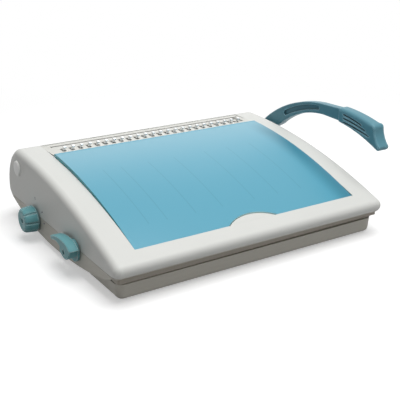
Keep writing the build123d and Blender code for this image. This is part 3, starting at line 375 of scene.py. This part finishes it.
# Greener ABS for the dials, with little gloss: a painted highlight on its edges and painted shade in its grooves
KNOB = moulded_plastic("abs_knob_teal", "#6ea9af", 0.36, grain_mm=0.6, grain_depth_mm=0.04, edge_mm=2.4,
                       pale="#f0ffff", groove_shade_mm=4.0, specular=0.12)
# Powder coat baked on steel: an even cream with a faint orange peel, and painted shade in its slots
CREAM = moulded_plastic("powder_coated_plate", "#d4d4ce", 0.45, grain_mm=0.9, groove_shade_mm=5.0)
# Nylon as it leaves the mould, undyed: milky and without a sharp gloss
NYLON = moulded_plastic("nylon_natural", "#e6e4dc", 0.5, grain_mm=0.8, grain_depth_mm=0.04)
# Screen-printed ink, a thin flat film: violet grey that hardly shines
PRINT = moulded_plastic("screen_print_violet_grey", "#5a5468", 0.6, grain_depth_mm=0.02)
# Moulded rubber: almost black and matt, so the feet vanish in their own shade
RUBBER = moulded_plastic("rubber_foot_black", "#232323", 0.75, grain_mm=0.8, grain_depth_mm=0.08, share=0.08)
# Rolled steel with a zinc coat: cool grey, its highlight drawn out along the rolling
STEEL = metal("zinc_plated_steel", "#b9bcbf", 0.34, brush_mm=0.4, along="X")
# Stamped steel with a bright nickel coat: nearly white, with finer scratches up and down
BRIGHT = metal("nickel_plated_hook_steel", "#dfe1e2", 0.3, brush_mm=0.3, along="Z")
# Sintered bronze, pressed from powder, so its brown yellow stays dull
BRONZE = metal("sintered_bronze", "#a8824e", 0.4, brush_mm=0.5, along="X")

FINISHES = {
    CASING: ("upper_casing", "chip_drawer"),
    CAP: ("pivot_cap",),
    BASE: ("lower_casing",),
    TRAY: ("comb_tray",),
    LID: ("lid",),
    TEAL: ("handle_arm",),
    GRIP: ("handle_grip",),
    KNOB: ("margin_knob", "wing_lever"),
    CREAM: ("comb_plate",),
    NYLON: ("margin_spindle", "wing_spindle", "depth_slide"),
    RUBBER: ("rubber_feet",),
    BRIGHT: ("comb_hooks", "punch_pins"),
    BRONZE: ("shaft_bushes",),
    STEEL: ("case_screws", "lid_hinge_pins", "die_plate", "guide_plate", "throat_spacers", "side_frame_left",
            "side_frame_right", "main_shaft", "handle_screw", "punch_bar", "hook_bar"),
}


def finish_nodes():
    """Gives each CAD node its material."""
    for material, nodes in FINISHES.items():
        for node in nodes:
            for material_slot in frame["nodes"][node].material_slots:
                material_slot.material = material


# ---------------------------------------------------------------- making pieces


def link(name, mesh):
    """Object with its mesh, in the scene."""
    piece = bpy.data.objects.new(name, mesh)
    bpy.context.collection.objects.link(piece)
    return piece


def formed(name, form):
    """Object made from an edited mesh."""
    mesh = bpy.data.meshes.new(name)
    form.to_mesh(mesh)
    form.free()
    return link(name, mesh)


def baked(piece):
    """The piece with its modifiers turned into plain mesh."""
    evaluated = piece.evaluated_get(bpy.context.evaluated_depsgraph_get())
    mesh = bpy.data.meshes.new_from_object(evaluated)
    piece.modifiers.clear()
    piece.data = mesh
    return piece


def merged(piece):
    """The piece with corners that lie on one another made one."""
    form = bmesh.new()
    form.from_mesh(piece.data)
    bmesh.ops.remove_doubles(form, verts=form.verts, dist=SAME_PLACE * MM)
    form.to_mesh(piece.data)
    form.free()
    return piece


def extruded(name, outline, x_from, x_to, edge):
    """Flat side outline (Y, Z) given a thickness along X and rounded edges, all in millimetres."""
    form = bmesh.new()
    corners = [form.verts.new((x_from * MM, y * MM, z * MM)) for y, z in outline]
    face = form.faces.new(corners)
    grown = bmesh.ops.extrude_face_region(form, geom=[face])["geom"]
    moved = [item for item in grown if isinstance(item, bmesh.types.BMVert)]
    bmesh.ops.translate(form, vec=((x_to - x_from) * MM, 0, 0), verts=moved)
    bmesh.ops.recalc_face_normals(form, faces=form.faces)
    piece = formed(name, form)
    soft = piece.modifiers.new("rounded", "BEVEL")
    soft.width = edge * MM
    soft.segments = EDGE_STEPS
    soft.limit_method = "ANGLE"
    return merged(baked(piece))


def turned(name, profile, steps=ROUND_STEPS):
    """Round piece about Z from a profile of radius and height, in millimetres, closed at both ends."""
    form = bmesh.new()
    rings = []
    for radius, height in profile:
        rings.append([form.verts.new((radius * MM * math.cos(2 * math.pi * k / steps),
                                      radius * MM * math.sin(2 * math.pi * k / steps), height * MM))
                      for k in range(steps)])
    for low, high in zip(rings, rings[1:]):
        for k in range(steps):
            form.faces.new((low[k], low[(k + 1) % steps], high[(k + 1) % steps], high[k]))
    form.faces.new(rings[0][::-1])
    form.faces.new(rings[-1])
    bmesh.ops.recalc_face_normals(form, faces=form.faces)
    return formed(name, form)


def cut_out(piece, cutter):
    """The piece with the cutter taken out of it; the cutter goes."""
    cut = piece.modifiers.new("cut", "BOOLEAN")
    cut.operation = "DIFFERENCE"
    cut.object = cutter
    baked(piece)
    bpy.data.objects.remove(cutter)
    return piece


def row_tree():
    """Geometry nodes that set one piece along a row; its count, pitch and finish are inputs."""
    tree = bpy.data.node_groups.new("row_of_pieces", "GeometryNodeTree")
    sockets = {}
    for label, kind in (("Count", "Int"), ("First", "Vector"), ("Pitch", "Vector"), ("Piece", "Object"),
                        ("Finish", "Material")):
        socket = tree.interface.new_socket(label, in_out="INPUT", socket_type="NodeSocket" + kind)
        sockets[label] = socket.identifier
    tree.interface.new_socket("Geometry", in_out="OUTPUT", socket_type="NodeSocketGeometry")
    given = add(tree, "NodeGroupInput").outputs
    row = add(tree, "GeometryNodeMeshLine", {"Count": given["Count"], "Start Location": given["First"],
                                             "Offset": given["Pitch"]})
    piece = add(tree, "GeometryNodeObjectInfo", {"Object": given["Piece"]})
    placed = add(tree, "GeometryNodeInstanceOnPoints", {"Points": row.outputs["Mesh"],
                                                        "Instance": piece.outputs["Geometry"]})
    real = add(tree, "GeometryNodeRealizeInstances", {"Geometry": placed.outputs["Instances"]})
    done = add(tree, "GeometryNodeSetMaterial", {"Geometry": real.outputs["Geometry"],
                                                 "Material": given["Finish"]})
    add(tree, "NodeGroupOutput", {"Geometry": done.outputs["Geometry"]})
    return tree, sockets


ROW_TREE, ROW_SOCKETS = row_tree()


def row_of(name, pattern, count, first, pitch, finish):
    """A row of copies of the pattern piece, which itself is taken away; first and pitch in millimetres."""
    piece = link(name, bpy.data.meshes.new(name))
    row = piece.modifiers.new("row", "NODES")
    row.node_group = ROW_TREE
    values = {"Count": count, "First": [v * MM for v in first], "Pitch": [v * MM for v in pitch],
              "Piece": pattern, "Finish": finish}
    for label, value in values.items():
        row[ROW_SOCKETS[label]] = value
    baked(piece)
    bpy.data.objects.remove(pattern)
    return piece


def comb_row(name, pattern):
    """A row of one piece for each ring of the comb, centred on the machine."""
    first = (-(HOOK_COUNT - 1) / 2 * HOOK_PITCH, 0, 0)
    return row_of(name, pattern, HOOK_COUNT, first, (HOOK_PITCH, 0, 0), BRIGHT)


def joined(name, pieces):
    """One piece from several."""
    form = bmesh.new()
    for piece in pieces:
        form.from_mesh(piece.data)
    whole = formed(name, form)
    for material in pieces[0].data.materials:
        whole.data.materials.append(material)
    for piece in pieces:
        bpy.data.objects.remove(piece)
    return whole


def stand_for(piece, node, body):
    """Lets a detailed piece stand for a CAD node."""
    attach(piece, body)
    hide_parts(node)


def node_box(node):
    """Lowest and highest corner of a CAD node, in millimetres."""
    return [[value / MM for value in corner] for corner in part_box(node)]


# ---------------------------------------------------------------- hooks and pins


def comb_hooks():
    """Stamped hooks with rounded edges, one for each ring of the comb."""
    low, high = node_box("comb_hooks")
    front, rear, foot, top = low[1], high[1], low[2], high[2]
    stem = rear - HOOK_STEM
    tip, root = HOOK_TONGUE
    outline = [(stem, foot), (rear, foot), (rear, top - HOOK_BEND), (rear - HOOK_BEND, top),
               (front + HOOK_TIP, top), (front, top - HOOK_TIP), (front, top - tip),
               (stem - HOOK_INSIDE, top - root), (stem, top - root - HOOK_INSIDE)]
    hook = extruded("hook_pattern", outline, -HOOK_WIDTH / 2, HOOK_WIDTH / 2, HOOK_EDGE)
    stand_for(comb_row("hook_row", hook), "comb_hooks", "hooks")


def punch_pins():
    """Ground pins with a hollow-sheared cutting end."""
    low, high = node_box("punch_pins")
    middle = (low[2] + high[2]) / 2
    outline = [(low[1], low[2]), (high[1], low[2]), (high[1], high[2]), (low[1], high[2]),
               (low[1] + PIN_HOLLOW, middle)]
    pin = extruded("pin_pattern", outline, -PIN_WIDTH / 2, PIN_WIDTH / 2, PIN_EDGE)
    stand_for(comb_row("pin_row", pin), "punch_pins", "punch")


# ---------------------------------------------------------------- left cheek and front lip


def groove_depth(angle):
    """How far the dial's side lies inside its crest, at an angle round it."""
    in_lobe = (angle * DIAL_LOBES / (2 * math.pi)) % 1
    from_groove = abs(in_lobe - 0.5) * 2
    groove = max(0.0, 1 - from_groove / LOBE_GROOVE_SHARE) ** LOBE_GROOVE_CURVE
    return LOBE_GROOVE * groove + LOBE_FALL * (1 - from_groove) ** 2


def lobed_dial():
    """Dial with soft lobes between narrow grooves, a rounded face and an open bore."""
    low, high = node_box("margin_knob")
    y, z = (low[1] + high[1]) / 2, (low[2] + high[2]) / 2
    length = high[0] - low[0]
    profile = [(DIAL_CORE, 0.0)]
    profile += [(DIAL_RADIUS - inset, height) for inset, height in DIAL_SIDE]
    profile += [(radius, length - depth) for radius, depth in DIAL_FACE]
    dial = turned("dial", profile, DIAL_STEPS * DIAL_LOBES)
    for corner in dial.data.vertices:
        reach = math.hypot(corner.co.x, corner.co.y) / MM
        if reach > DIAL_RADIUS - LOBE_REACH and corner.co.z > LOBE_FROM * MM:
            angle = math.atan2(corner.co.y, corner.co.x) + math.pi / DIAL_LOBES
            scale = 1 - groove_depth(angle) / reach
            corner.co.x *= scale
            corner.co.y *= scale
    dial.data.transform(Matrix.Rotation(math.radians(-90), 4, "Y"))
    dial.data.transform(Matrix.Translation(Vector((high[0], y, z)) * MM))
    dial.data.materials.append(KNOB)
    stand_for(dial, "margin_knob", "margin_dial")


def dial_marks():
    """Printed tick marks on the left cheek, round the dial."""
    inner, outer = MARK_REACH
    bars = []
    for angle in MARK_ANGLES:
        along, across = math.cos(math.radians(angle)), math.sin(math.radians(angle))
        outline = [(DIAL_AXIS[0] + reach * along - side * across, DIAL_AXIS[1] + reach * across + side * along)
                   for reach, side in ((inner, -MARK_HALF), (outer, -MARK_HALF), (outer, MARK_HALF),
                                       (inner, MARK_HALF))]
        bars.append(extruded("mark", outline, CHEEK_X + MARK_FILM[0], CHEEK_X + MARK_FILM[1], SHARP_EDGE))
    marks = joined("dial_marks", bars)
    marks.data.materials.append(PRINT)
    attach(marks, "base")


def under_lip_band():
    """Shallow moulded band under the front lip. Its right corner is round. Its front line draws back by the
    corner's radius towards the left, and its left end has a dent behind the corner."""
    outline = [(BAND_REAR, -BAND_HALF), (BAND_REAR, BAND_HALF)]
    turns = [math.radians(90 / BAND_CORNER_STEPS * step) for step in range(BAND_CORNER_STEPS + 1)]
    straight = BAND_HALF - BAND_CORNER
    for side, way in ((1, -1), (-1, 1)):        # the right corner bows forward, the left one back
        outline += [(BAND_FRONT + BAND_CORNER * (1 + way * math.sin(turn)),
                     side * (straight + BAND_CORNER * math.cos(turn))) for turn in turns]
    band = extruded("band", outline, *BAND_HEIGHTS, BAND_EDGE)
    band.data.transform(Matrix.Rotation(math.radians(-90), 4, "Y"))
    band.data.materials.append(BAND)
    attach(band, "base")


# ---------------------------------------------------------------- grip and selector


def worn_round(piece):
    """The piece with its corners worn round by the hand: an even mesh, then smoothed."""
    even = piece.modifiers.new("even", "REMESH")
    even.mode = "VOXEL"
    even.voxel_size = WEAR_GRID * MM
    even.use_smooth_shade = True
    worn = piece.modifiers.new("worn", "SMOOTH")
    worn.factor = WEAR_SHARE
    worn.iterations = WEAR_ROUNDS
    return baked(piece)


def carved(name, node, cutters, handled=False):
    """Copy of a CAD node's solid, worn round if it is handled, with the cutters taken out of it."""
    piece = merged(link(name, frame["nodes"][node].data.copy()))
    if handled:
        worn_round(piece)
    for cutter in cutters:
        cut_out(piece, cutter)
    return merged(piece)


def groove_cutter(points, x_from, x_to):
    """Long bar that follows a bowed line of three points (Y, Z), narrowed at its ends."""
    start, middle, end = [Vector(point) for point in points]
    upper, lower = [], []
    for step in range(GROOVE_STEPS + 1):
        t = step / GROOVE_STEPS
        place = start * (1 - t) * (1 - 2 * t) + middle * 4 * t * (1 - t) + end * t * (2 * t - 1)
        slope = start * (4 * t - 3) + middle * 4 * (1 - 2 * t) + end * (4 * t - 1)
        half = GROOVE_WIDTH / 2 * (GROOVE_END if step in (0, GROOVE_STEPS) else 1.0)
        aside = Vector((-slope.y, slope.x)).normalized() * half
        upper.append(tuple(place + aside))
        lower.append(tuple(place - aside))
    return extruded("groove_cutter", upper + lower[::-1], x_from, x_to, SHARP_EDGE)


def grooved_grip():
    """Worn grip with three deep finger grooves in its inner side."""
    inner = node_box("handle_grip")[0][0]
    cutters = [groove_cutter(points, inner - CUT_PAST, inner + GROOVE_DEPTH) for points in GRIP_GROOVES]
    grip = carved("grip", "handle_grip", cutters, handled=True)
    stand_for(grip, "handle_grip", "handle")


def bored_wing():
    """Winged selector with an open bore in its face."""
    outer = node_box("wing_lever")[0][0]
    bore = turned("bore", [(DIAL_BORE, -CUT_PAST), (DIAL_BORE, DIAL_BORE_DEPTH)])
    bore.data.transform(Matrix.Rotation(math.radians(90), 4, "Y"))
    bore.data.transform(Matrix.Translation(Vector((outer, *WING_AXIS)) * MM))
    wing = carved("wing", "wing_lever", [bore])
    stand_for(wing, "wing_lever", "size_selector")


# ---------------------------------------------------------------- feet and screws


def rubber_feet():
    """Moulded feet with a ring groove in the sole."""
    low, high = node_box("rubber_feet")
    profile = [*FOOT_SOLE, (FOOT_RADIUS, high[2])]
    apart = (high[0] - low[0] - 2 * FOOT_RADIUS, 0, 0)
    rows = []
    for y in (low[1] + FOOT_RADIUS, high[1] - FOOT_RADIUS):
        foot = turned("foot_pattern", profile)
        rows.append(row_of("foot_row", foot, 2, (low[0] + FOOT_RADIUS, y, 0), apart, RUBBER))
    stand_for(joined("foot_set", rows), "rubber_feet", "base")


def crossed_screw(length):
    """Screw of the given length that stands on its domed head, with a cross recess in the dome."""
    profile = [(SCREW_RADIUS * radius, SCREW_HEAD * height) for radius, height in SCREW_DOME]
    profile += [(SCREW_SHANK, SCREW_HEAD), (SCREW_SHANK, length)]
    screw = turned("screw_pattern", profile, SCREW_STEPS)
    for turn in (0, 90):
        arm = turned("recess", [(RECESS_SPAN / 2, depth) for depth in RECESS_DEPTHS], 4)
        arm.data.transform(Matrix.Rotation(math.radians(45), 4, "Z"))
        arm.data.transform(Matrix.Diagonal((1.0, RECESS_NARROW, 1.0, 1.0)))
        arm.data.transform(Matrix.Rotation(math.radians(turn), 4, "Z"))
        cut_out(screw, arm)
    return screw


def case_screws():
    """Cross-head screws along both cheeks."""
    low, high = node_box("case_screws")
    apart = (high[0] - low[0] - 2 * SCREW_RADIUS, 0, 0)
    places = (low[1] + SCREW_RADIUS, (low[1] + high[1]) / 2 - SCREW_AHEAD, high[1] - SCREW_RADIUS)
    rows = []
    for y in places:
        screw = crossed_screw(high[2] - low[2])
        rows.append(row_of("screw_row", screw, 2, (low[0] + SCREW_RADIUS, y, low[2]), apart, STEEL))
    stand_for(joined("screw_set", rows), "case_screws", "base")


# ---------------------------------------------------------------- floor, light and camera

WHITE = "#ffffff"
FLOOR_HALF = 6.0            # metres
FLOOR_BOUNCE = "#9e9e9e"    # grey that lights the machine from below
FLOOR_GREY = "#e1e1e1"      # grey that the camera sees, where shadows fall
FLOOR_LIFT = 0.42           # light added to it, which brings it near white outside the shadow
FLOOR_FADE = (0.5, 1.1)     # metres from the middle over which it turns plain white
SURROUND = 0.22             # strength of the light from all round
# Lamps: name, place and size in metres, power in watts
LAMPS = (("lamp_overhead", (0.1, -0.35, 2.0), 1.5, 36.0),
         ("lamp_behind", (0.9, 1.6, 1.0), 1.2, 2.6),
         ("lamp_front", (0.6, -2.2, 0.3), 1.2, 4.0))
LAMP_AIM = (0.0, 0.0, 0.06)
CAMERA_PLACE = (-599.2, -975.0, 471.1)      # millimetres
CAMERA_YAW, CAMERA_PITCH = 32.41, 20.63     # degrees, from +Y towards +X, and down
CAMERA_LENS, CAMERA_SENSOR = 68.97, 36.0    # millimetres


def seen_directly(tree):
    """1 for rays from the camera, and for those that glossy and clear surfaces send on."""
    rays = add(tree, "ShaderNodeLightPath").outputs
    seen = add(tree, "ShaderNodeMath", {0: rays["Is Camera Ray"], 1: rays["Is Glossy Ray"]}, operation="MAXIMUM")
    return add(tree, "ShaderNodeMath", {0: seen.outputs[0], 1: rays["Is Transmission Ray"]},
               operation="MAXIMUM").outputs[0]


def floor():
    """Pale floor that shows white to the camera and keeps the machine's soft shadow."""
    mesh = bpy.data.meshes.new("floor")
    corners = [(x * FLOOR_HALF, y * FLOOR_HALF, 0) for x, y in ((-1, -1), (1, -1), (1, 1), (-1, 1))]
    mesh.from_pydata(corners, [], [(0, 1, 2, 3)])
    plane = link("floor", mesh)
    material, tree, output = new_material("floor_white")
    plain = add(tree, "ShaderNodeBsdfDiffuse", {"Color": colour(FLOOR_BOUNCE)})
    pale = add(tree, "ShaderNodeBsdfDiffuse", {"Color": colour(FLOOR_GREY)})
    lift = add(tree, "ShaderNodeEmission", {"Color": colour(WHITE), "Strength": FLOOR_LIFT})
    near = add(tree, "ShaderNodeAddShader", {0: pale.outputs[0], 1: lift.outputs[0]})
    place = add(tree, "ShaderNodeTexCoord").outputs["Object"]
    away = add(tree, "ShaderNodeVectorMath", {0: place}, operation="LENGTH").outputs["Value"]
    fade = add(tree, "ShaderNodeMapRange", {"Value": away, "From Min": FLOOR_FADE[0], "From Max": FLOOR_FADE[1]},
               interpolation_type="SMOOTHSTEP").outputs["Result"]
    white = add(tree, "ShaderNodeEmission", {"Color": colour(WHITE), "Strength": 1.0})
    shown = add(tree, "ShaderNodeMixShader", {0: fade, 1: near.outputs[0], 2: white.outputs[0]})
    mix = add(tree, "ShaderNodeMixShader", {0: seen_directly(tree), 1: plain.outputs[0], 2: shown.outputs[0]})
    tree.links.new(mix.outputs[0], output.inputs["Surface"])
    mesh.materials.append(material)


def world():
    """Soft dim surround; the background behind the machine shows white."""
    surround = bpy.data.worlds.new("studio")
    bpy.context.scene.world = surround
    surround.use_nodes = True
    tree = surround.node_tree
    tree.nodes.clear()
    soft = add(tree, "ShaderNodeBackground", {"Color": colour(WHITE), "Strength": SURROUND})
    white = add(tree, "ShaderNodeBackground", {"Color": colour(WHITE), "Strength": 1.0})
    mix = add(tree, "ShaderNodeMixShader", {0: seen_directly(tree), 1: soft.outputs[0], 2: white.outputs[0]})
    output = add(tree, "ShaderNodeOutputWorld")
    tree.links.new(mix.outputs[0], output.inputs["Surface"])


def softbox(name, place, size, power):
    """Square lamp that faces the machine."""
    lamp = bpy.data.lights.new(name, "AREA")
    lamp.shape = "SQUARE"
    lamp.size = size
    lamp.energy = power
    holder = bpy.data.objects.new(name, lamp)
    holder.location = place
    aim = Vector(LAMP_AIM) - Vector(place)
    holder.rotation_euler = aim.to_track_quat("-Z", "Y").to_euler()
    bpy.context.collection.objects.link(holder)


def camera():
    """Camera about a metre off the front left corner, looking down on the machine."""
    yaw = math.radians(CAMERA_YAW)
    pitch = math.radians(CAMERA_PITCH)
    forward = Vector((math.sin(yaw) * math.cos(pitch), math.cos(yaw) * math.cos(pitch), -math.sin(pitch)))
    right = Vector((math.cos(yaw), -math.sin(yaw), 0.0))
    up = right.cross(forward)
    lens = bpy.data.cameras.new("camera")
    lens.sensor_width = CAMERA_SENSOR
    lens.lens = CAMERA_LENS
    holder = bpy.data.objects.new("camera", lens)
    turn = Matrix((right, up, -forward)).transposed().to_4x4()
    holder.matrix_world = Matrix.Translation(Vector(CAMERA_PLACE) * MM) @ turn
    bpy.context.collection.objects.link(holder)
    bpy.context.scene.camera = holder


finish_nodes()
comb_hooks()
punch_pins()
lobed_dial()
dial_marks()
under_lip_band()
bored_wing()
grooved_grip()
rubber_feet()
case_screws()
floor()
world()
for lamp_values in LAMPS:
    softbox(*lamp_values)
camera()

bpy.context.scene.view_settings.view_transform = "Standard"
